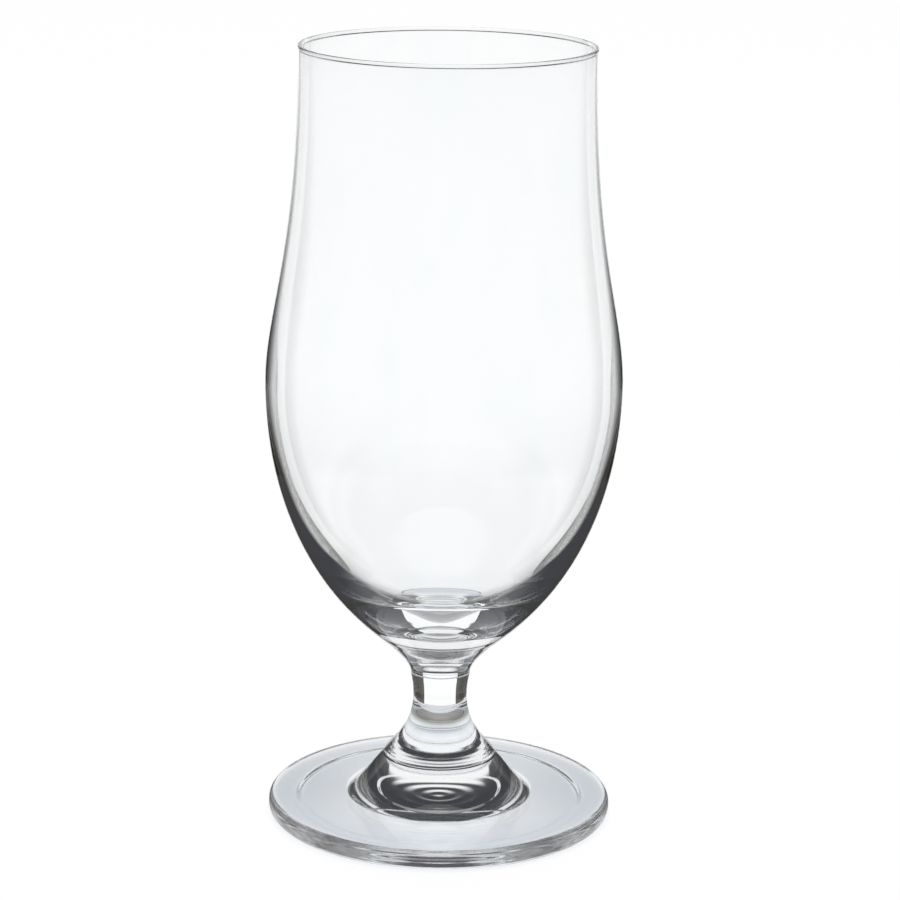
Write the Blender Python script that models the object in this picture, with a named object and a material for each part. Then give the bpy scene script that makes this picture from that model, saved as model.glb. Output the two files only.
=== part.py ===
"""Stemmed beer goblet of clear glass, in metres, +Z up, standing on z = 0 with its axis on Z.

Three turned pieces, as the glass is made: a blown bowl, a drawn stem and a pressed foot.
They are fused to each other on the real goblet. Here a fine gap keeps each one a solid of its own.
"""

import bpy
from mathutils import Vector
from mathutils.geometry import interpolate_bezier

# Heights above the table
TOTAL_HEIGHT = 0.185
INNER_BELLY_HEIGHT = 0.1068
BELLY_HEIGHT = 0.1062
HEEL_HEIGHT = 0.0586
FLOOR_HEIGHT = 0.0491
SHOULDER_HEIGHT = 0.04345
BOWL_JOINT_HEIGHT = 0.035
WAIST_HEIGHT = 0.029
FOOT_JOINT_HEIGHT = 0.0145

# Radii of the outside, and of the heel inside the bowl where the wall turns into the floor
RIM_RADIUS = 0.0342
BELLY_RADIUS = 0.0419
SHOULDER_RADIUS = 0.01403
BOWL_JOINT_RADIUS = 0.0071
WAIST_RADIUS = 0.00646
FOOT_JOINT_RADIUS = 0.0134
FOOT_RADIUS = 0.0411
HEEL_RADIUS = 0.02275

# Thickness of the bowl's wall
RIM_WALL = 0.001
BELLY_WALL = 0.0015

# The foot: a boss, a disc that falls gently to a rounded edge, and a resting ring. Under it a step leads up
# into a shallow hollow, which has a round recess in its middle.
BOSS_RADIUS = 0.0225
BOSS_BASE_HEIGHT = 0.0048
EDGE_RADIUS = 0.0392
EDGE_TOP_HEIGHT = 0.0044
EDGE_WIDEST_HEIGHT = 0.0019
REST_OUTER_RADIUS = 0.0395
REST_INNER_RADIUS = 0.0354
STEP_WIDTH = 0.003
HOLLOW_HEIGHT = 0.0004
RECESS_RADIUS = 0.0105
RECESS_SLOPE = 0.0008
RECESS_DEPTH = 0.0004

# Slopes of the outline, as radius gained or lost for each unit of height
HEEL_SLOPE = 1.15
SHOULDER_SLOPE = 1.286
NECK_SLOPE = 0.162
STEM_TOP_SLOPE = 0.162
BOSS_SLOPE = 0.69

# Pulls: how strongly a curve keeps its direction at a station before it bends to the next one
FLOOR_PULL = 0.008
BELOW_HEEL_PULL = 0.01305
ABOVE_HEEL_PULL = 0.00995
BELOW_INNER_BELLY_PULL = 0.026
ABOVE_INNER_BELLY_PULL = 0.0193
ABOVE_BELLY_PULL = 0.0167
MOUTH_PULL = 0.0473
BELOW_BELLY_PULL = 0.0203
ABOVE_SHOULDER_PULL = 0.02793
BELOW_SHOULDER_PULL = 0.0007
NECK_PULL = 0.00269
STEM_TOP_PULL = 0.0023
ABOVE_WAIST_PULL = 0.0029
BELOW_WAIST_PULL = 0.008
FLARE_PULL = 0.0028
BOSS_PULL = 0.0062
DISC_PULL = 0.0016
EDGE_PULL = 0.002
ABOVE_WIDEST_PULL = 0.0009
BELOW_WIDEST_PULL = 0.0011
QUARTER_ARC_PULL = 0.5523

# How finely the pieces are cut, and the gap that stands for a fused joint
TURN_STEPS = 48
LONG_CURVE = 9
SHORT_CURVE = 5
FUSED_GAP = 0.0003
MERGE_DISTANCE = 0.00001

# Clear soda-lime glass, polished
GLASS_COLOUR = (0.93, 0.95, 0.95, 1.0)
GLASS_ROUGHNESS = 0.03
GLASS_IOR = 1.52

UP = Vector((0.0, 0.0, 1.0))
DOWN = Vector((0.0, 0.0, -1.0))
OUTWARD = Vector((1.0, 0.0, 0.0))
INWARD = Vector((-1.0, 0.0, 0.0))


def station(radius, height):
    """A point of an outline: its distance from the axis and its height."""
    return Vector((radius, 0.0, height))


def narrowing(slope):
    """Direction of an outline that runs down and towards the axis."""
    return Vector((-slope, 0.0, -1.0)).normalized()


def spreading(slope):
    """Direction of an outline that runs down and away from the axis."""
    return Vector((slope, 0.0, -1.0)).normalized()


def bend(start, leaving, arriving, end, count):
    """A smooth run between two stations. Each end has a direction times a pull."""
    return interpolate_bezier(start, start + leaving, end - arriving, end, count)


def joined(*runs):
    """One outline from several runs, with a point that two runs share kept once."""
    outline = [runs[0][0]]
    for run in runs:
        outline.extend(point for point in run if (point - outline[-1]).length > MERGE_DISTANCE)
    return outline


def clear_glass(name):
    """A material for one piece of polished clear glass."""
    material = bpy.data.materials.new(name)
    material.use_nodes = True
    shader = material.node_tree.nodes["Principled BSDF"]
    shader.inputs["Base Color"].default_value = GLASS_COLOUR
    shader.inputs["Metallic"].default_value = 0.0
    shader.inputs["Roughness"].default_value = GLASS_ROUGHNESS
    shader.inputs["IOR"].default_value = GLASS_IOR
    shader.inputs["Transmission Weight"].default_value = 1.0
    return material


def turned(name, outline):
    """A solid turned about Z from an outline that starts and ends on the axis."""
    mesh = bpy.data.meshes.new(name)
    edges = [(index, index + 1) for index in range(len(outline) - 1)]
    mesh.from_pydata(outline, edges, [])
    mesh.materials.append(clear_glass(name + "_glass"))
    piece = bpy.data.objects.new(name, mesh)
    bpy.context.collection.objects.link(piece)
    screw = piece.modifiers.new("turn", "SCREW")
    screw.axis = "Z"
    screw.steps = TURN_STEPS
    screw.render_steps = TURN_STEPS
    screw.use_merge_vertices = True
    screw.merge_threshold = MERGE_DISTANCE
    screw.use_smooth_shade = True


def bowl_outline():
    """Up the inside from the floor to the mouth, over the rim and down the outside to the stem."""
    base = BOWL_JOINT_HEIGHT + FUSED_GAP / 2
    lip = RIM_WALL / 2
    lip_pull = lip * QUARTER_ARC_PULL
    lip_height = TOTAL_HEIGHT - lip
    floor = station(0.0, FLOOR_HEIGHT)
    heel = station(HEEL_RADIUS, HEEL_HEIGHT)
    inner_belly = station(BELLY_RADIUS - BELLY_WALL, INNER_BELLY_HEIGHT)
    inner_lip = station(RIM_RADIUS - RIM_WALL, lip_height)
    top = station(RIM_RADIUS - lip, TOTAL_HEIGHT)
    outer_lip = station(RIM_RADIUS, lip_height)
    belly = station(BELLY_RADIUS, BELLY_HEIGHT)
    shoulder = station(SHOULDER_RADIUS, SHOULDER_HEIGHT)
    neck = station(BOWL_JOINT_RADIUS, base)
    heel_rise = -narrowing(HEEL_SLOPE)
    shoulder_fall = narrowing(SHOULDER_SLOPE)
    neck_fall = narrowing(NECK_SLOPE)
    return joined(
        bend(floor, OUTWARD * FLOOR_PULL, heel_rise * BELOW_HEEL_PULL, heel, LONG_CURVE),
        bend(heel, heel_rise * ABOVE_HEEL_PULL, UP * BELOW_INNER_BELLY_PULL, inner_belly, LONG_CURVE),
        bend(inner_belly, UP * ABOVE_INNER_BELLY_PULL, UP * MOUTH_PULL, inner_lip, LONG_CURVE),
        bend(inner_lip, UP * lip_pull, OUTWARD * lip_pull, top, SHORT_CURVE),
        bend(top, OUTWARD * lip_pull, DOWN * lip_pull, outer_lip, SHORT_CURVE),
        bend(outer_lip, DOWN * MOUTH_PULL, DOWN * ABOVE_BELLY_PULL, belly, LONG_CURVE),
        bend(belly, DOWN * BELOW_BELLY_PULL, shoulder_fall * ABOVE_SHOULDER_PULL, shoulder, LONG_CURVE),
        bend(shoulder, shoulder_fall * BELOW_SHOULDER_PULL, neck_fall * NECK_PULL, neck, SHORT_CURVE),
        [neck, station(0.0, base)],
    )


def stem_outline():
    """From the joint with the bowl through the waist and out along the flare to the foot."""
    top_height = BOWL_JOINT_HEIGHT - FUSED_GAP / 2
    base = FOOT_JOINT_HEIGHT + FUSED_GAP / 2
    shoulder = station(BOWL_JOINT_RADIUS, top_height)
    waist = station(WAIST_RADIUS, WAIST_HEIGHT)
    flare = station(FOOT_JOINT_RADIUS, base)
    shoulder_fall = narrowing(STEM_TOP_SLOPE)
    flare_fall = spreading(BOSS_SLOPE)
    return joined(
        [station(0.0, top_height), shoulder],
        bend(shoulder, shoulder_fall * STEM_TOP_PULL, DOWN * ABOVE_WAIST_PULL, waist, SHORT_CURVE),
        bend(waist, DOWN * BELOW_WAIST_PULL, flare_fall * FLARE_PULL, flare, LONG_CURVE),
        [flare, station(0.0, base)],
    )


def foot_outline():
    """From the joint with the stem over the boss and the disc, round the edge and under the foot."""
    top_height = FOOT_JOINT_HEIGHT - FUSED_GAP / 2
    boss = station(FOOT_JOINT_RADIUS, top_height)
    disc = station(BOSS_RADIUS, BOSS_BASE_HEIGHT)
    edge = station(EDGE_RADIUS, EDGE_TOP_HEIGHT)
    widest = station(FOOT_RADIUS, EDGE_WIDEST_HEIGHT)
    rest_outer = station(REST_OUTER_RADIUS, 0.0)
    rest_inner = station(REST_INNER_RADIUS, 0.0)
    hollow_edge = station(REST_INNER_RADIUS - STEP_WIDTH, HOLLOW_HEIGHT)
    recess_edge = station(RECESS_RADIUS + RECESS_SLOPE / 2, HOLLOW_HEIGHT)
    recess_height = HOLLOW_HEIGHT + RECESS_DEPTH
    recess_corner = station(RECESS_RADIUS - RECESS_SLOPE / 2, recess_height)
    boss_fall = spreading(BOSS_SLOPE)
    along_disc = (edge - disc).normalized()
    return joined(
        [station(0.0, top_height), boss],
        bend(boss, boss_fall * BOSS_PULL, along_disc * DISC_PULL, disc, LONG_CURVE),
        bend(edge, along_disc * EDGE_PULL, DOWN * ABOVE_WIDEST_PULL, widest, SHORT_CURVE),
        bend(widest, DOWN * BELOW_WIDEST_PULL, INWARD * BELOW_WIDEST_PULL, rest_outer, SHORT_CURVE),
        [rest_inner, hollow_edge, recess_edge, recess_corner, station(0.0, recess_height)],
    )


def main():
    for existing in list(bpy.data.objects):
        bpy.data.objects.remove(existing)
    turned("bowl", bowl_outline())
    turned("stem", stem_outline())
    turned("foot", foot_outline())


main()
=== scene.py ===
"""Stemmed beer goblet of clear glass: the finished look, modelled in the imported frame.

The goblet is three gathers of glass that were fused while hot. Each one is turned here from its outline.
"""

import math

import bmesh
import bpy
from bpy.props import FloatProperty, IntProperty, PointerProperty, StringProperty
from bpy.types import Operator, Panel, PropertyGroup
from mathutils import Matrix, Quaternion, Vector
from mathutils.geometry import interpolate_bezier


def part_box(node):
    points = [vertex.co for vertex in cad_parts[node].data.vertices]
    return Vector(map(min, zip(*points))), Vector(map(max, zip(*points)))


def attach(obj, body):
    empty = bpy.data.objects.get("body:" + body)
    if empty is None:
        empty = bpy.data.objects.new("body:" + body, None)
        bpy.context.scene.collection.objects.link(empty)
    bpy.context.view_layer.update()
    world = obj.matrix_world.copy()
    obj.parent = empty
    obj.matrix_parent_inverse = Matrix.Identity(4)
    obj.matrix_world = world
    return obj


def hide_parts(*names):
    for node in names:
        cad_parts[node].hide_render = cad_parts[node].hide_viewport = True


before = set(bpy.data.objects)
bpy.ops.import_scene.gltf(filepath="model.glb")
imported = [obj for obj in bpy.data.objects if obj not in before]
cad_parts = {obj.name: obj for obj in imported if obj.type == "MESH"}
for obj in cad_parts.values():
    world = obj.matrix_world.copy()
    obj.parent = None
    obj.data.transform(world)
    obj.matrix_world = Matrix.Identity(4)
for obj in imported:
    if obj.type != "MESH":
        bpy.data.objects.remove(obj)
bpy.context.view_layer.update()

bl_info = {
    "name": "Beer Goblet",
    "version": (1, 0, 0),
    "blender": (4, 5, 0),
    "location": "View3D > Sidebar > Goblet",
    "description": "Blown bowl, drawn stem and pressed foot of a clear beer goblet, on a white stage",
    "category": "Add Mesh",
}

BODY = "root"

# Main sizes of the goblet, read from the frame. A joint is midway between the two nodes that it joins.
BOWL_LOW, BOWL_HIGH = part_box("bowl")
STEM_LOW, STEM_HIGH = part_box("stem")
FOOT_LOW, FOOT_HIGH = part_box("foot")
TOTAL_HEIGHT = BOWL_HIGH.z
BELLY_RADIUS = BOWL_HIGH.x
FOOT_RADIUS = FOOT_HIGH.x
BOWL_JOINT_HEIGHT = (BOWL_LOW.z + STEM_HIGH.z) / 2
FOOT_JOINT_HEIGHT = (STEM_LOW.z + FOOT_HIGH.z) / 2

# How finely an outline is cut, how many steps a turn has, and what counts as one point
CURVE_STEPS = 22
STEM_CURVE_STEPS = 8
TURN_STEPS = 224
WALL_STEPS = 36
MERGE_DISTANCE = 0.000001
ON_JOINT = 0.000002

# Slopes of the outlines, as radius gained or lost for each unit of height
HEEL_SLOPE = 1.15
SHOULDER_SLOPE = 1.286
NECK_SLOPE = 0.162
GROOVE_SLOPE = 0.6
BOSS_GROOVE_SLOPE = 2.0

# Pulls: how strongly a curve keeps its direction at a station before it bends to the next one
FLOOR_PULL = 0.008
BELOW_HEEL_PULL = 0.01305
ABOVE_HEEL_PULL = 0.00995
BELOW_INNER_BELLY_PULL = 0.026
ABOVE_INNER_BELLY_PULL = 0.0193
INNER_MOUTH_PULL = 0.0465
OUTER_MOUTH_PULL = 0.0467
ABOVE_BELLY_PULL = 0.0167
BELOW_BELLY_PULL = 0.0203
ABOVE_SHOULDER_PULL = 0.02793
BELOW_SHOULDER_PULL = 0.0007
NECK_PULL = 0.0025
STEM_TOP_PULL = 0.0021
ABOVE_WAIST_PULL = 0.0029
BELOW_WAIST_PULL = 0.008
FLARE_PULL = 0.0026
BOSS_PULL = 0.0059
DISC_START_PULL = 0.0016
DISC_PULL = 0.003
EDGE_PULL = 0.002
ABOVE_WIDEST_PULL = 0.0009
BELOW_WIDEST_PULL = 0.0011
REST_PULL = 0.001
HOLLOW_PULL = 0.002
RECESS_PULL = 0.0003
RING_PULL = 0.0005
GROOVE_PULL = 0.0001
GROOVE_EDGE_PULL = 0.0002
QUARTER_ARC_PULL = 0.5523

# The bead on the rim, in bead radii: how far down it reaches, and the pulls at its foot and its sides
BEAD_REACH = 2.6
BEAD_FOOT_PULL = 0.9
BEAD_SIDE_PULL = 0.55

# Grooves at the fused joints: how far they reach along the axis, and the radius gained or lost on the way
BOWL_GROOVE_REACH = 0.0004
FOOT_GROOVE_REACH = 0.0003
NECK_GAIN = 0.0001
FLARE_LOSS = 0.0002
BOSS_GAIN = 0.0003

# Fine rings: the parts of the flare and the first one that stands out, and the rings in the recess
FLARE_PARTS = 24
FIRST_RIDGE = 14
RING_SPACING = 0.0015
RING_COUNT = 6

# The glass, and the tints of its cords and of what is between them
GLASS_IOR = 1.52
CORD_TINT = "#fafcfd"
CLEAR_TINT = "#ffffff"

# The board: its size, the part of it that glows, and the goblet's shadow painted on it under the foot, by
# distance
# from the axis: a painted shade, dark under the boss, with a lighter painted ring round it and pale
# blue-grey under the disc
BOARD_RADIUS = 4.0
BOARD_DROP = 0.0002
BOARD_GLOW = 0.97
PAINTED_SHADE_REACH = 0.042
PAINTED_SHADE_UNDER_FOOT = (
    (0.010, "#868583"), (0.0125, "#a4a29c"), (0.0145, "#bdc2c8"), (0.017, "#ecf0f3"),
    (0.020, "#fafbfd"), (0.024, "#f2f5f9"), (0.031, "#e9eef4"), (0.038, "#e9eef4"),
)
# Painted shade on the board in the middle, under the recess: the ramp's first stop
PAINTED_SHADE_UNDER_RECESS = (0.006, "#9c9b97")

# The soft light overhead
LIGHT_PLACE = (0.0, 0.25, 1.1)
LIGHT_WIDTH = 0.9
LIGHT_DEPTH = 0.7

# The world, by how far a direction points away from the camera: one is straight behind, minus one in front
RISE_NONE = math.cos(math.radians(34.0))
RISE_FULL = math.cos(math.radians(18.0))
FRONT_START = -0.3
FRONT_END = -0.7
LIGHT_FADE = math.radians(15.0)

# The mat and the walls, and the heights and distances between which they start to let rays through
MAT_HEIGHT = 0.0004
MAT_GAP = 0.0002
WALL_RADIUS = 0.2
MAT_EDGE_LOW, MAT_EDGE_HIGH = 0.001, 0.02
CLEAR_FROM_HEIGHT = 0.11
CLEAR_UP_TO_LOW, CLEAR_UP_TO_HIGH = 0.15, 0.2
CLEAR_FROM_NEAR, CLEAR_FROM_FAR = 0.055, 0.09

UP = Vector((0.0, 0.0, 1.0))
DOWN = Vector((0.0, 0.0, -1.0))
OUTWARD = Vector((1.0, 0.0, 0.0))
INWARD = Vector((-1.0, 0.0, 0.0))
STILL = Vector((0.0, 0.0, 0.0))


class BowlShape(PropertyGroup):
    """Sizes of the blown bowl."""

    rim_radius: FloatProperty(
        name="Rim radius", description="Outside radius of the wall below the bead",
        default=0.0342, unit="LENGTH")
    rim_wall: FloatProperty(
        name="Rim wall", description="Thickness of the wall just below the bead",
        default=0.0006, unit="LENGTH")
    bead_radius: FloatProperty(
        name="Bead radius", description="Radius of the bead that fire polishing leaves on the rim",
        default=0.00052, unit="LENGTH")
    belly_height: FloatProperty(
        name="Belly height", description="Height of the widest place of the outside",
        default=0.1062, unit="LENGTH")
    inner_belly_height: FloatProperty(
        name="Inner belly height", description="Height of the widest place of the inside",
        default=0.1068, unit="LENGTH")
    belly_wall: FloatProperty(
        name="Belly wall", description="Thickness of the wall at the belly",
        default=0.0015, unit="LENGTH")
    heel_radius: FloatProperty(
        name="Heel radius", description="Inside radius where the wall turns into the floor",
        default=0.02275, unit="LENGTH")
    heel_height: FloatProperty(
        name="Heel height", description="Height of the inside where the wall turns into the floor",
        default=0.0586, unit="LENGTH")
    floor_height: FloatProperty(
        name="Floor height", description="Height of the middle of the inside floor",
        default=0.0491, unit="LENGTH")
    shoulder_radius: FloatProperty(
        name="Shoulder radius", description="Outside radius of the solid bottom above the neck",
        default=0.01403, unit="LENGTH")
    shoulder_height: FloatProperty(
        name="Shoulder height", description="Height of the shoulder above the neck",
        default=0.04345, unit="LENGTH")


class StemShape(PropertyGroup):
    """Sizes of the drawn stem and its two joints."""

    bowl_joint_radius: FloatProperty(
        name="Bowl joint radius", description="Radius where the bowl is fused to the stem",
        default=0.0071, unit="LENGTH")
    waist_radius: FloatProperty(
        name="Waist radius", description="Radius of the narrowest place",
        default=0.00646, unit="LENGTH")
    waist_height: FloatProperty(
        name="Waist height", description="Height of the narrowest place",
        default=0.029, unit="LENGTH")
    foot_joint_radius: FloatProperty(
        name="Foot joint radius", description="Radius where the stem is fused to the foot",
        default=0.0134, unit="LENGTH")
    ridge_height: FloatProperty(
        name="Ridge height", description="How far the fine rings of the drawn flare stand out",
        default=0.00001, unit="LENGTH")
    seam_depth: FloatProperty(
        name="Seam depth", description="How deep the fine groove at a fused joint is",
        default=0.00012, unit="LENGTH")


class FootShape(PropertyGroup):
    """Sizes of the pressed foot."""

    boss_radius: FloatProperty(
        name="Boss radius", description="Radius where the boss meets the disc",
        default=0.0225, unit="LENGTH")
    boss_base_height: FloatProperty(
        name="Boss base height", description="Height of the disc at the boss",
        default=0.0048, unit="LENGTH")
    edge_radius: FloatProperty(
        name="Edge radius", description="Radius where the disc starts to round over",
        default=0.0392, unit="LENGTH")
    edge_top_height: FloatProperty(
        name="Edge top height", description="Height of the disc where it starts to round over",
        default=0.0044, unit="LENGTH")
    edge_widest_height: FloatProperty(
        name="Edge widest height", description="Height of the widest place of the edge",
        default=0.0019, unit="LENGTH")
    rest_outer_radius: FloatProperty(
        name="Rest outer radius", description="Outer radius of the ring that the goblet rests on",
        default=0.0395, unit="LENGTH")
    rest_inner_radius: FloatProperty(
        name="Rest inner radius", description="Inner radius of the ring that the goblet rests on",
        default=0.0354, unit="LENGTH")
    step_width: FloatProperty(
        name="Step width", description="Width of the step from the resting ring up into the hollow",
        default=0.003, unit="LENGTH")
    underside_height: FloatProperty(
        name="Underside height", description="Height of the shallow hollow under the foot",
        default=0.0004, unit="LENGTH")
    recess_radius: FloatProperty(
        name="Recess radius", description="Radius of the round recess in the middle of the hollow",
        default=0.0105, unit="LENGTH")
    recess_slope: FloatProperty(
        name="Recess slope", description="Width of the sloping wall round the recess",
        default=0.0008, unit="LENGTH")
    recess_depth: FloatProperty(
        name="Recess depth", description="Depth of the recess above the hollow",
        default=0.0004, unit="LENGTH")
    ring_height: FloatProperty(
        name="Ring height", description="Height of the fine rings in the recess",
        default=0.00002, unit="LENGTH")
    boss_slope: FloatProperty(
        name="Boss slope", description="Radius gained for each unit of height at the top of the boss",
        default=0.69)


class StageLook(PropertyGroup):
    """Colours, camera and light of the stage."""

    white: StringProperty(
        name="White", description="Floor and backdrop, as an sRGB hex colour", default="#ffffff")
    room: StringProperty(
        name="Room", description="Dim room over the backdrop, as an sRGB hex colour", default="#3f4044")
    light_edge: StringProperty(
        name="Light edge", description="Fading edge of the light overhead, as an sRGB hex colour",
        default="#cbcbc8")
    mat: StringProperty(
        name="Mat", description="Mat between the goblet and the walls, as an sRGB hex colour",
        default="#3c3a31")
    wall: StringProperty(
        name="Wall", description="Middle of the walls beside the goblet, as an sRGB hex colour",
        default="#43444a")
    wall_top: StringProperty(
        name="Wall top", description="Top of the walls beside the goblet, as an sRGB hex colour",
        default="#46474c")
    wall_middle: FloatProperty(
        name="Wall middle", description="Share of the walls' height that has their middle colour",
        default=0.3)
    backdrop_top: FloatProperty(
        name="Backdrop top", description="How far up the white backdrop reaches",
        default=math.radians(11.0), subtype="ANGLE")
    backdrop_rise: FloatProperty(
        name="Backdrop rise", description="How much further up, as a sine, the backdrop reaches behind",
        default=0.09)
    room_start: FloatProperty(
        name="Room start", description="Where the backdrop has faded into the dim room",
        default=math.radians(15.0), subtype="ANGLE")
    room_end: FloatProperty(
        name="Room end", description="Where the light overhead starts",
        default=math.radians(48.0), subtype="ANGLE")
    light_start: FloatProperty(
        name="Light start", description="Where the light overhead has its fading edge",
        default=math.radians(58.0), subtype="ANGLE")
    wall_start: FloatProperty(
        name="Wall start", description="Where the side walls start, to each side of straight behind",
        default=math.radians(25.0), subtype="ANGLE")
    wall_fade_start: FloatProperty(
        name="Wall fade start", description="Where the side walls start to fade out, towards the camera",
        default=math.radians(118.0), subtype="ANGLE")
    wall_fade_end: FloatProperty(
        name="Wall fade end", description="Where the side walls end",
        default=math.radians(174.0), subtype="ANGLE")
    mirror_fade_start: FloatProperty(
        name="Mirror fade start", description="Where the walls start to fade out for a ray mirrored once",
        default=math.radians(33.0), subtype="ANGLE")
    mirror_fade_end: FloatProperty(
        name="Mirror fade end", description="Where the walls end for a ray mirrored once",
        default=math.radians(52.0), subtype="ANGLE")
    mat_fade_start: FloatProperty(
        name="Mat fade start", description="Where the mat starts to fade out, towards the camera",
        default=math.radians(75.0), subtype="ANGLE")
    mat_fade_end: FloatProperty(
        name="Mat fade end", description="Where the mat ends",
        default=math.radians(112.0), subtype="ANGLE")
    wall_height: FloatProperty(
        name="Wall height", description="Height of the side walls", default=0.36, unit="LENGTH")
    soft_level: FloatProperty(
        name="Soft level", description="Level of the even light from all round", default=0.6)
    light_power: FloatProperty(
        name="Light power", description="Power of the soft light overhead", default=12.0, unit="POWER")
    camera_distance: FloatProperty(
        name="Camera distance", description="Level distance from the goblet's axis to the camera",
        default=0.707, unit="LENGTH")
    camera_height: FloatProperty(
        name="Camera height", description="Height of the camera above the floor",
        default=0.275, unit="LENGTH")
    camera_pitch: FloatProperty(
        name="Camera pitch", description="How far the camera looks down",
        default=math.radians(14.7), subtype="ANGLE")
    camera_yaw: FloatProperty(
        name="Camera yaw", description="How far the camera is turned to the right",
        default=math.radians(0.13), subtype="ANGLE")
    camera_roll: FloatProperty(
        name="Camera roll", description="How far the picture leans to the right",
        default=math.radians(0.776), subtype="ANGLE")
    lens: FloatProperty(
        name="Lens", description="Focal length on a 36 mm wide picture, in millimetres", default=124.08)
    light_paths: IntProperty(
        name="Light paths", description="How many surfaces a ray may meet inside the glass", default=40)


def linear(hex_colour):
    """An sRGB hex colour as linear red, green, blue and alpha."""
    parts = [int(hex_colour[place:place + 2], 16) / 255 for place in (1, 3, 5)]
    red, green, blue = (
        part / 12.92 if part <= 0.04045 else ((part + 0.055) / 1.055) ** 2.4 for part in parts)
    return red, green, blue, 1.0


def add_node(tree, kind, inputs=None, **settings):
    """Add a node with its settings. An input that is a socket is linked, any other is set."""
    made = tree.nodes.new(kind)
    for field, value in settings.items():
        setattr(made, field, value)
    for socket, value in (inputs or {}).items():
        if isinstance(value, bpy.types.NodeSocket):
            tree.links.new(value, made.inputs[socket])
        else:
            made.inputs[socket].default_value = value
    return made


def combined(tree, operation, first, second):
    """The result of a Math node on two values."""
    return add_node(tree, "ShaderNodeMath", {0: first, 1: second}, operation=operation).outputs[0]


def faded(tree, value, start, end, level=1.0, curve="SMOOTHSTEP"):
    """Nought where the value is at the start, the level where it is at the end, and a fade between."""
    return add_node(tree, "ShaderNodeMapRange",
                    {"Value": value, "From Min": start, "From Max": end, "To Max": level},
                    interpolation_type=curve).outputs[0]


def blank_material(name):
    """A material with an empty node tree, and that tree."""
    material = bpy.data.materials.new(name)
    material.use_nodes = True
    material.node_tree.nodes.clear()
    return material, material.node_tree


def narrowing(slope):
    """Direction of an outline that runs down and towards the axis."""
    return Vector((-slope, 0.0, -1.0)).normalized()


def spreading(slope):
    """Direction of an outline that runs down and away from the axis."""
    return Vector((slope, 0.0, -1.0)).normalized()


def station(radius, height, arriving=STILL, leaving=STILL):
    """A point of an outline, with the pulls of the curve that arrives there and of the one that leaves."""
    place = Vector((radius, 0.0, height))
    return place, place - arriving, place + leaving


def ridged(start, end, count, first, depth):
    """Stations along the curve between two stations. From the first ridge on, every other one stands out."""
    curve = interpolate_bezier(start[0], start[2], end[1], end[0], count + 1)
    stations = [(start[0], start[1], start[0].lerp(curve[1], 1 / 3))]
    for index in range(1, count):
        pull = (curve[index + 1] - curve[index - 1]) / 6
        lift = depth * (index % 2) if index >= first else 0.0
        stations.append(station(curve[index].x + lift, curve[index].z, pull, pull))
    stations.append((end[0], end[0].lerp(curve[-2], 1 / 3), end[2]))
    return stations


def lathed(name, outline, steps, sweep=math.tau, start=0.0, fineness=CURVE_STEPS):
    """A surface swept about Z from an outline, over a full turn or over a part that starts at an angle."""
    facing = Quaternion(UP, start)
    bpy.ops.object.select_all(action="DESELECT")
    bpy.ops.curve.primitive_bezier_curve_add()
    piece = bpy.context.object
    piece.name = name
    piece.data.resolution_u = fineness
    spline = piece.data.splines[0]
    spline.bezier_points.add(len(outline) - len(spline.bezier_points))
    for knot, (place, arriving, leaving) in zip(spline.bezier_points, outline):
        knot.handle_left_type = "FREE"
        knot.handle_right_type = "FREE"
        knot.co = facing @ place
        knot.handle_left = facing @ arriving
        knot.handle_right = facing @ leaving
    bpy.ops.object.convert(target="MESH")
    piece = bpy.context.object
    piece.data.name = name
    bpy.ops.object.mode_set(mode="EDIT")
    bpy.ops.mesh.select_all(action="SELECT")
    bpy.ops.mesh.spin(steps=steps, angle=sweep, center=(0.0, 0.0, 0.0), axis=(0.0, 0.0, 1.0))
    bpy.ops.mesh.select_all(action="SELECT")
    bpy.ops.mesh.remove_doubles(threshold=MERGE_DISTANCE)
    bpy.ops.mesh.normals_make_consistent(inside=False)
    bpy.ops.mesh.faces_shade_smooth()
    bpy.ops.object.mode_set(mode="OBJECT")
    return piece


def turned(name, outline, joints, glass, fineness=CURVE_STEPS):
    """A closed piece of glass turned from an outline that starts and ends on the axis.

    The flat ends at the joint heights get the material of a fused seam.
    """
    piece = lathed(name, outline, TURN_STEPS, fineness=fineness)
    piece.data.materials.append(glass)
    piece.data.materials.append(fused_seam())
    bpy.ops.object.mode_set(mode="EDIT")
    bpy.ops.mesh.select_all(action="DESELECT")
    turned_mesh = bmesh.from_edit_mesh(piece.data)
    for face in turned_mesh.faces:
        heights = [corner.co.z for corner in face.verts]
        face.select_set(any(
            max(heights) < joint + ON_JOINT and min(heights) > joint - ON_JOINT for joint in joints))
    bmesh.update_edit_mesh(piece.data)
    piece.active_material_index = 1
    bpy.ops.object.material_slot_assign()
    bpy.ops.mesh.region_to_loop()
    bpy.ops.mesh.mark_sharp()
    bpy.ops.object.mode_set(mode="OBJECT")
    return piece


def handed_over(piece, node):
    """The piece rides on the goblet's body and stands for its node."""
    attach(piece, BODY)
    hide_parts(node)


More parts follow.
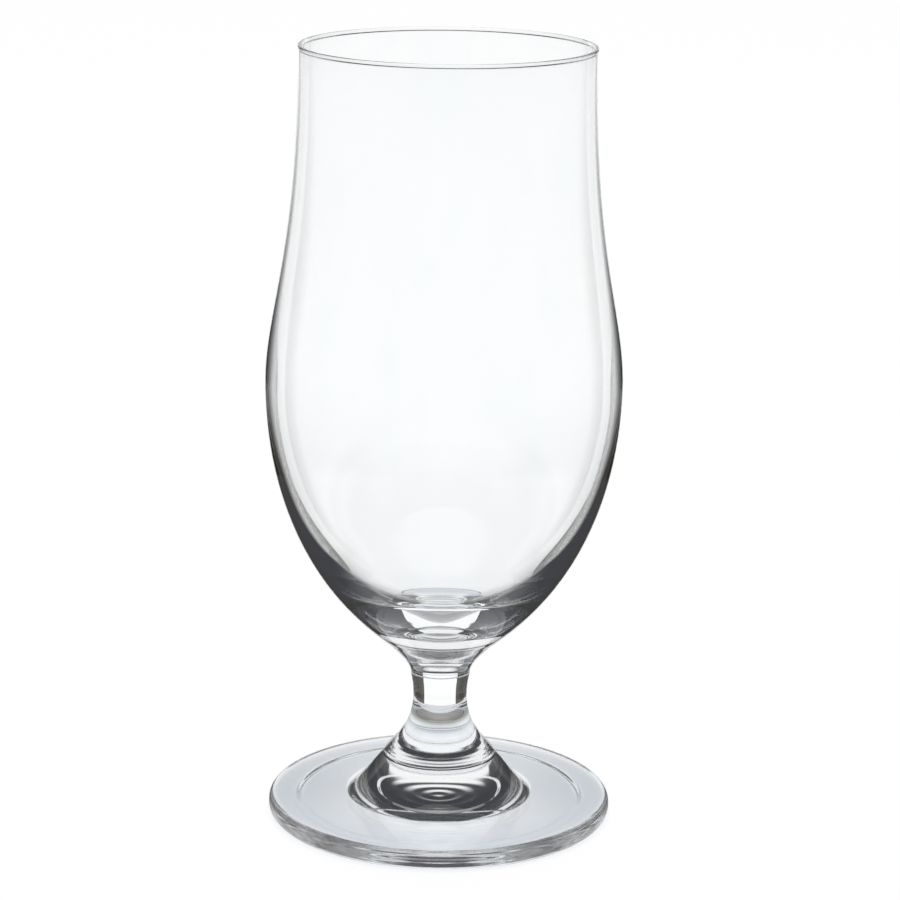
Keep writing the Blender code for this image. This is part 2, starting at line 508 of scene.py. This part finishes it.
def soda_lime_glass(name, cord_width, stretch, roughness):
    """Soda-lime glass, polished by the flame: clear, with faint cords where the melt was uneven.

    A cord has a width and is drawn out along the axis by the stretch.
    A mould leaves the glass a little rough.
    """
    material, tree = blank_material(name)
    place = add_node(tree, "ShaderNodeTexCoord")
    drawn = add_node(tree, "ShaderNodeMapping",
                     {"Vector": place.outputs["Object"], "Scale": (1.0, 1.0, 1.0 / stretch)})
    cords = add_node(tree, "ShaderNodeTexNoise",
                     {"Vector": drawn.outputs["Vector"], "Scale": 1.0 / cord_width, "Detail": 2.0})
    tint = add_node(tree, "ShaderNodeValToRGB", {0: cords.outputs["Fac"]})
    tint.color_ramp.elements[0].color = linear(CORD_TINT)
    tint.color_ramp.elements[1].color = linear(CLEAR_TINT)
    shader = add_node(tree, "ShaderNodeBsdfPrincipled",
                      {"Base Color": tint.outputs["Color"], "Roughness": roughness, "IOR": GLASS_IOR,
                       "Transmission Weight": 1.0})
    add_node(tree, "ShaderNodeOutputMaterial", {"Surface": shader.outputs[0]})
    return material


def fused_seam():
    """Glass fused to glass: light passes the joint unbent, so the joint is seen only by its groove."""
    material = bpy.data.materials.get("fused_seam")
    if material is None:
        material = bpy.data.materials.new("fused_seam")
        material.use_nodes = True
        material.node_tree.nodes["Principled BSDF"].inputs["Alpha"].default_value = 0.0
    return material


class GOBLET_OT_bowl(Operator):
    """Blow the bowl: thin wall with a bead at the rim, belly and heavy solid bottom"""

    bl_idname = "goblet.bowl"
    bl_label = "Blown bowl"

    def execute(self, context):
        bowl = context.scene.goblet_bowl
        stem = context.scene.goblet_stem
        middle = bowl.rim_radius - bowl.rim_wall / 2
        bead = bowl.bead_radius
        arc = bead * QUARTER_ARC_PULL
        bead_height = TOTAL_HEIGHT - bead
        bead_foot = TOTAL_HEIGHT - BEAD_REACH * bead
        bead_foot_pull = bead * BEAD_FOOT_PULL
        bead_side_pull = bead * BEAD_SIDE_PULL
        heel_rise = -narrowing(HEEL_SLOPE)
        shoulder_fall = narrowing(SHOULDER_SLOPE)
        neck_fall = narrowing(NECK_SLOPE)
        inside_belly = BELLY_RADIUS - bowl.belly_wall
        outline = [
            station(0.0, bowl.floor_height, leaving=OUTWARD * FLOOR_PULL),
            station(bowl.heel_radius, bowl.heel_height,
                    heel_rise * BELOW_HEEL_PULL, heel_rise * ABOVE_HEEL_PULL),
            station(inside_belly, bowl.inner_belly_height,
                    UP * BELOW_INNER_BELLY_PULL, UP * ABOVE_INNER_BELLY_PULL),
            station(middle - bowl.rim_wall / 2, bead_foot, UP * INNER_MOUTH_PULL, UP * bead_foot_pull),
            station(middle - bead, bead_height, UP * bead_side_pull, UP * arc),
            station(middle, TOTAL_HEIGHT, OUTWARD * arc, OUTWARD * arc),
            station(middle + bead, bead_height, DOWN * arc, DOWN * bead_side_pull),
            station(middle + bowl.rim_wall / 2, bead_foot, DOWN * bead_foot_pull, DOWN * OUTER_MOUTH_PULL),
            station(BELLY_RADIUS, bowl.belly_height, DOWN * ABOVE_BELLY_PULL, DOWN * BELOW_BELLY_PULL),
            station(bowl.shoulder_radius, bowl.shoulder_height,
                    shoulder_fall * ABOVE_SHOULDER_PULL, shoulder_fall * BELOW_SHOULDER_PULL),
            station(stem.bowl_joint_radius + NECK_GAIN, BOWL_JOINT_HEIGHT + BOWL_GROOVE_REACH,
                    neck_fall * NECK_PULL, neck_fall * GROOVE_EDGE_PULL),
            station(stem.bowl_joint_radius - stem.seam_depth, BOWL_JOINT_HEIGHT,
                    narrowing(GROOVE_SLOPE) * GROOVE_PULL),
            station(0.0, BOWL_JOINT_HEIGHT),
        ]
        glass = soda_lime_glass("blown_soda_lime_glass", cord_width=0.008, stretch=3.0, roughness=0.0)
        piece = turned("blown_bowl", outline, [BOWL_JOINT_HEIGHT], glass)
        handed_over(piece, "bowl")
        return {"FINISHED"}


class GOBLET_OT_stem(Operator):
    """Draw the stem: a waist that flares into the foot"""

    bl_idname = "goblet.stem"
    bl_label = "Drawn stem"

    def execute(self, context):
        stem = context.scene.goblet_stem
        top_fall = narrowing(NECK_SLOPE)
        flare_fall = spreading(context.scene.goblet_foot.boss_slope)
        waist = station(stem.waist_radius, stem.waist_height,
                        DOWN * ABOVE_WAIST_PULL, DOWN * BELOW_WAIST_PULL)
        flare = station(stem.foot_joint_radius - FLARE_LOSS, FOOT_JOINT_HEIGHT + FOOT_GROOVE_REACH,
                        flare_fall * FLARE_PULL, flare_fall * GROOVE_EDGE_PULL)
        outline = [
            station(0.0, BOWL_JOINT_HEIGHT),
            station(stem.bowl_joint_radius - stem.seam_depth, BOWL_JOINT_HEIGHT,
                    leaving=spreading(GROOVE_SLOPE) * GROOVE_PULL),
            station(stem.bowl_joint_radius, BOWL_JOINT_HEIGHT - BOWL_GROOVE_REACH,
                    top_fall * GROOVE_EDGE_PULL, top_fall * STEM_TOP_PULL),
            *ridged(waist, flare, FLARE_PARTS, FIRST_RIDGE, stem.ridge_height),
            station(stem.foot_joint_radius - stem.seam_depth, FOOT_JOINT_HEIGHT,
                    narrowing(GROOVE_SLOPE) * GROOVE_PULL),
            station(0.0, FOOT_JOINT_HEIGHT),
        ]
        joints = [BOWL_JOINT_HEIGHT, FOOT_JOINT_HEIGHT]
        glass = soda_lime_glass("drawn_soda_lime_glass", cord_width=0.002, stretch=12.0, roughness=0.0)
        piece = turned("drawn_stem", outline, joints, glass, STEM_CURVE_STEPS)
        handed_over(piece, "stem")
        return {"FINISHED"}


class GOBLET_OT_foot(Operator):
    """Press the foot: boss, disc with a rounded edge, resting ring, hollow and recess"""

    bl_idname = "goblet.foot"
    bl_label = "Pressed foot"

    def execute(self, context):
        foot = context.scene.goblet_foot
        stem = context.scene.goblet_stem
        boss_fall = spreading(foot.boss_slope)
        disc_start = Vector((foot.boss_radius, 0.0, foot.boss_base_height))
        disc_end = Vector((foot.edge_radius, 0.0, foot.edge_top_height))
        along_disc = (disc_end - disc_start).normalized()
        recess_height = foot.underside_height + foot.recess_depth
        half_slope = foot.recess_slope / 2
        rings = [
            (RING_SPACING * place, foot.ring_height * (place % 2)) for place in range(RING_COUNT, 0, -1)]
        outline = [
            station(0.0, FOOT_JOINT_HEIGHT),
            station(stem.foot_joint_radius - stem.seam_depth, FOOT_JOINT_HEIGHT,
                    leaving=spreading(BOSS_GROOVE_SLOPE) * GROOVE_PULL),
            station(stem.foot_joint_radius + BOSS_GAIN, FOOT_JOINT_HEIGHT - FOOT_GROOVE_REACH,
                    boss_fall * GROOVE_EDGE_PULL, boss_fall * BOSS_PULL),
            station(foot.boss_radius, foot.boss_base_height,
                    along_disc * DISC_START_PULL, along_disc * DISC_PULL),
            station(foot.edge_radius, foot.edge_top_height, along_disc * DISC_PULL, along_disc * EDGE_PULL),
            station(FOOT_RADIUS, foot.edge_widest_height,
                    DOWN * ABOVE_WIDEST_PULL, DOWN * BELOW_WIDEST_PULL),
            station(foot.rest_outer_radius, 0.0, INWARD * BELOW_WIDEST_PULL, INWARD * REST_PULL),
            station(foot.rest_inner_radius, 0.0, INWARD * REST_PULL, INWARD * foot.step_width / 2),
            station(foot.rest_inner_radius - foot.step_width, foot.underside_height,
                    INWARD * foot.step_width / 2, INWARD * HOLLOW_PULL),
            station(foot.recess_radius + half_slope, foot.underside_height,
                    INWARD * HOLLOW_PULL, INWARD * half_slope),
            station(foot.recess_radius - half_slope, recess_height,
                    INWARD * half_slope, INWARD * RECESS_PULL),
            *(station(radius, recess_height + lift, INWARD * RING_PULL, INWARD * RING_PULL)
              for radius, lift in rings),
            station(0.0, recess_height, INWARD * RING_PULL),
        ]
        glass = soda_lime_glass("pressed_soda_lime_glass", cord_width=0.004, stretch=1.0, roughness=0.06)
        piece = turned("pressed_foot", outline, [FOOT_JOINT_HEIGHT], glass)
        handed_over(piece, "foot")
        return {"FINISHED"}


def seen_ray(tree, path):
    """One for rays that end in the eye, straight or by way of gloss or glass, and nought for stray light."""
    by_gloss = combined(tree, "MAXIMUM", path.outputs["Is Camera Ray"], path.outputs["Is Glossy Ray"])
    return combined(tree, "MAXIMUM", by_gloss, path.outputs["Is Transmission Ray"])


def white_world(look):
    """A white backdrop. Glass also sees the room: dim over the backdrop, with a wide soft light on top."""
    world = bpy.data.worlds.new("white_backdrop")
    world.use_nodes = True
    tree = world.node_tree
    tree.nodes.clear()
    path = add_node(tree, "ShaderNodeLightPath")
    direction = add_node(tree, "ShaderNodeTexCoord").outputs["Generated"]
    height = add_node(tree, "ShaderNodeSeparateXYZ", {0: direction}).outputs["Z"]
    level = add_node(tree, "ShaderNodeVectorMath", {0: direction, 1: (1.0, 1.0, 0.0)}, operation="MULTIPLY")
    way = add_node(tree, "ShaderNodeVectorMath", {0: level.outputs[0]}, operation="NORMALIZE")
    behind = add_node(tree, "ShaderNodeSeparateXYZ", {0: way.outputs[0]}).outputs["Y"]
    rise = faded(tree, behind, RISE_NONE, RISE_FULL, -look.backdrop_rise, "LINEAR")
    room = add_node(tree, "ShaderNodeValToRGB", {0: combined(tree, "ADD", height, rise)})
    stops = room.color_ramp.elements
    stops[0].position = math.sin(look.backdrop_top)
    stops[0].color = linear(look.white)
    stops[1].position = math.sin(look.light_start + LIGHT_FADE)
    stops[1].color = linear(look.white)
    stops.new(math.sin(look.room_start)).color = linear(look.room)
    stops.new(math.sin(look.room_end)).color = linear(look.room)
    stops.new(math.sin(look.light_start)).color = linear(look.light_edge)
    # The sockets 6 and 7 of a Mix node are its two colours, and its output 2 is the mixed one
    front = faded(tree, behind, FRONT_START, FRONT_END, curve="LINEAR")
    opened = add_node(tree, "ShaderNodeMix", {0: front, 6: room.outputs["Color"], 7: linear(look.white)},
                      data_type="RGBA")
    in_glass = add_node(tree, "ShaderNodeBackground", {"Color": opened.outputs[2]})
    white = add_node(tree, "ShaderNodeBackground", {"Color": linear(look.white)})
    soft = add_node(tree, "ShaderNodeBackground", {"Color": linear(look.white), "Strength": look.soft_level})
    eye = add_node(tree, "ShaderNodeMixShader",
                   {0: path.outputs["Is Camera Ray"], 1: in_glass.outputs[0], 2: white.outputs[0]})
    mixed = add_node(tree, "ShaderNodeMixShader",
                     {0: seen_ray(tree, path), 1: soft.outputs[0], 2: eye.outputs[0]})
    add_node(tree, "ShaderNodeOutputWorld", {"Surface": mixed.outputs[0]})
    return world


def pale_floor(look):
    """Matt white board that glows mostly its own white, as if lit from below, so that only a soft shadow
    stays on it.

    Under the foot its glow carries a painted shade of the goblet: dark under the boss, a lighter painted
    ring round it, and pale blue-grey under the disc.
    """
    material, tree = blank_material("white_board_painted_shade")
    path = add_node(tree, "ShaderNodeLightPath")
    place = add_node(tree, "ShaderNodeTexCoord").outputs["Object"]
    distance = add_node(tree, "ShaderNodeVectorMath", {0: place}, operation="LENGTH").outputs["Value"]
    # Painted shade under the foot, by distance from the axis: dark under the boss, a lighter painted ring,
    # pale blue-grey under the disc, white beyond
    shade = add_node(tree, "ShaderNodeValToRGB", {0: combined(tree, "DIVIDE", distance, PAINTED_SHADE_REACH)})
    stops = shade.color_ramp.elements
    stops[0].position = PAINTED_SHADE_UNDER_RECESS[0] / PAINTED_SHADE_REACH
    stops[0].color = linear(PAINTED_SHADE_UNDER_RECESS[1])
    stops[1].position = 1.0
    stops[1].color = linear(look.white)
    for radius, colour in PAINTED_SHADE_UNDER_FOOT:
        stops.new(radius / PAINTED_SHADE_REACH).color = linear(colour)
    matt = add_node(tree, "ShaderNodeBsdfDiffuse", {"Color": linear(look.white)})
    # The board's glow, which carries the painted shade under the foot
    glow_with_painted_shade = add_node(tree, "ShaderNodeEmission", {"Color": shade.outputs["Color"], "Strength": 1.0})
    shown = add_node(tree, "ShaderNodeMixShader", {0: BOARD_GLOW, 1: matt.outputs[0], 2: glow_with_painted_shade.outputs[0]})
    mixed = add_node(tree, "ShaderNodeMixShader",
                     {0: seen_ray(tree, path), 1: matt.outputs[0], 2: shown.outputs[0]})
    add_node(tree, "ShaderNodeOutputMaterial", {"Surface": mixed.outputs[0]})
    return material


def matt_wall(look):
    """Dark matt paint of the mat and the walls, which the glass shows as its dark lines.

    A ray that was mirrored twice or more always meets the paint. Any other ray passes where the paint
    fades out towards the camera, on the mat earlier than on the walls. So that the bowl stays clear, a ray
    that was mirrored once also passes the lower walls beside the goblet, and the mat if it comes through
    the glass.
    """
    material, tree = blank_material("charcoal_wall")
    path = add_node(tree, "ShaderNodeLightPath")
    place = add_node(tree, "ShaderNodeTexCoord").outputs["Object"]
    height = add_node(tree, "ShaderNodeSeparateXYZ", {0: place}).outputs["Z"]
    distance = add_node(tree, "ShaderNodeVectorMath", {0: place}, operation="LENGTH").outputs["Value"]
    way = add_node(tree, "ShaderNodeVectorMath", {0: place}, operation="NORMALIZE")
    behind = add_node(tree, "ShaderNodeSeparateXYZ", {0: way.outputs["Vector"]}).outputs["Y"]
    shade = add_node(tree, "ShaderNodeValToRGB", {0: combined(tree, "DIVIDE", height, look.wall_height)})
    shade.color_ramp.elements[0].color = linear(look.mat)
    shade.color_ramp.elements[1].color = linear(look.wall_top)
    shade.color_ramp.elements.new(look.wall_middle).color = linear(look.wall)

    mirrored = path.outputs["Glossy Depth"]
    at_most_once = combined(tree, "LESS_THAN", mirrored, 1.5)
    once = add_node(tree, "ShaderNodeMath", {0: mirrored, 1: 1.0, 2: 0.5}, operation="COMPARE").outputs[0]
    wall_fade = faded(
        tree, behind, math.cos(look.wall_fade_start), math.cos(look.wall_fade_end), at_most_once)
    mat_fade = faded(
        tree, behind, math.cos(look.mat_fade_start), math.cos(look.mat_fade_end), at_most_once)
    on_mat = faded(tree, height, MAT_EDGE_HIGH, MAT_EDGE_LOW, mat_fade, "LINEAR")
    raised = faded(tree, height, 0.0, CLEAR_FROM_HEIGHT)
    far = faded(tree, distance, CLEAR_FROM_NEAR, CLEAR_FROM_FAR, path.outputs["Is Transmission Ray"])
    low = faded(tree, height, CLEAR_UP_TO_HIGH, CLEAR_UP_TO_LOW, once)
    beside = combined(tree, "MULTIPLY", low, combined(tree, "MAXIMUM", raised, far))
    mirror_fade = faded(
        tree, behind, math.cos(look.mirror_fade_start), math.cos(look.mirror_fade_end), beside)
    to_camera = combined(tree, "MAXIMUM", wall_fade, on_mat)
    passes = combined(tree, "MAXIMUM", to_camera, mirror_fade)
    dim = add_node(tree, "ShaderNodeEmission", {"Color": shade.outputs["Color"]})
    clear = add_node(tree, "ShaderNodeBsdfTransparent")
    mixed = add_node(tree, "ShaderNodeMixShader", {0: passes, 1: dim.outputs[0], 2: clear.outputs[0]})
    add_node(tree, "ShaderNodeOutputMaterial", {"Surface": mixed.outputs[0]})
    return material


def standing_aside(wall, camera):
    """A wall shapes only what the glass shows. It keeps its place round the camera's view of the goblet."""
    wall.visible_camera = False
    wall.visible_diffuse = False
    wall.visible_shadow = False
    wall.parent = camera
    wall.matrix_parent_inverse = camera.matrix_world.inverted()


class GOBLET_OT_stage(Operator):
    """Set the white floor and backdrop, the soft light, the camera, and the mat and walls by the goblet"""

    bl_idname = "goblet.stage"
    bl_label = "White stage"

    def execute(self, context):
        scene = context.scene
        look = scene.goblet_stage
        scene.view_settings.view_transform = "Standard"
        scene.cycles.max_bounces = look.light_paths
        scene.cycles.transmission_bounces = look.light_paths
        scene.cycles.glossy_bounces = look.light_paths
        scene.cycles.transparent_max_bounces = look.light_paths
        scene.world = white_world(look)
        bpy.ops.object.select_all(action="DESELECT")
        bpy.ops.mesh.primitive_circle_add(
            vertices=96, radius=BOARD_RADIUS, fill_type="NGON", location=(0.0, 0.0, -BOARD_DROP))
        floor = context.object
        floor.name = "floor"
        floor.data.materials.append(pale_floor(look))

        bpy.ops.object.light_add(type="AREA", location=LIGHT_PLACE)
        light = context.object
        light.name = "soft_light"
        light.data.shape = "RECTANGLE"
        light.data.size = LIGHT_WIDTH
        light.data.size_y = LIGHT_DEPTH
        light.data.energy = look.light_power
        light.visible_transmission = False
        light.visible_glossy = False

        bpy.ops.object.camera_add(location=(0.0, -look.camera_distance, look.camera_height))
        camera = context.object
        camera.name = "photo_camera"
        turn = Quaternion(UP, -look.camera_yaw) @ Quaternion(OUTWARD, math.pi / 2 - look.camera_pitch)
        camera.rotation_euler = (turn @ Quaternion(UP, look.camera_roll)).to_euler()
        camera.data.sensor_width = 36.0
        camera.data.lens = look.lens
        camera.data.clip_start = 0.01
        scene.camera = camera
        context.view_layer.update()

        quarter = math.pi / 2
        sweep = math.pi - look.wall_start
        profile = [
            station(FOOT_RADIUS + MAT_GAP, MAT_HEIGHT),
            station(WALL_RADIUS, MAT_HEIGHT),
            station(WALL_RADIUS, look.wall_height),
        ]
        paint = matt_wall(look)
        for name, start in (("right_wall", quarter - look.wall_start), ("left_wall", 3 * quarter)):
            wall = lathed(name, profile, WALL_STEPS, sweep, start)
            wall.data.materials.append(paint)
            standing_aside(wall, camera)
        return {"FINISHED"}


class GOBLET_PT_sidebar(Panel):
    """The goblet's pieces and its stage, in the order that they are made"""

    bl_idname = "GOBLET_PT_sidebar"
    bl_label = "Beer Goblet"
    bl_space_type = "VIEW_3D"
    bl_region_type = "UI"
    bl_category = "Goblet"

    def draw(self, context):
        for operator in OPERATORS:
            self.layout.operator(operator.bl_idname)


OPERATORS = (GOBLET_OT_bowl, GOBLET_OT_stem, GOBLET_OT_foot, GOBLET_OT_stage)
GROUPS = {
    "goblet_bowl": BowlShape,
    "goblet_stem": StemShape,
    "goblet_foot": FootShape,
    "goblet_stage": StageLook,
}


def register():
    for group in (*GROUPS.values(), *OPERATORS, GOBLET_PT_sidebar):
        bpy.utils.register_class(group)
    for name, group in GROUPS.items():
        setattr(bpy.types.Scene, name, PointerProperty(type=group))


def unregister():
    for name in GROUPS:
        delattr(bpy.types.Scene, name)
    for group in (GOBLET_PT_sidebar, *reversed(OPERATORS), *GROUPS.values()):
        bpy.utils.unregister_class(group)


def main():
    register()
    bpy.ops.goblet.bowl()
    bpy.ops.goblet.stem()
    bpy.ops.goblet.foot()
    bpy.ops.goblet.stage()


if __name__ == "__main__":
    main()
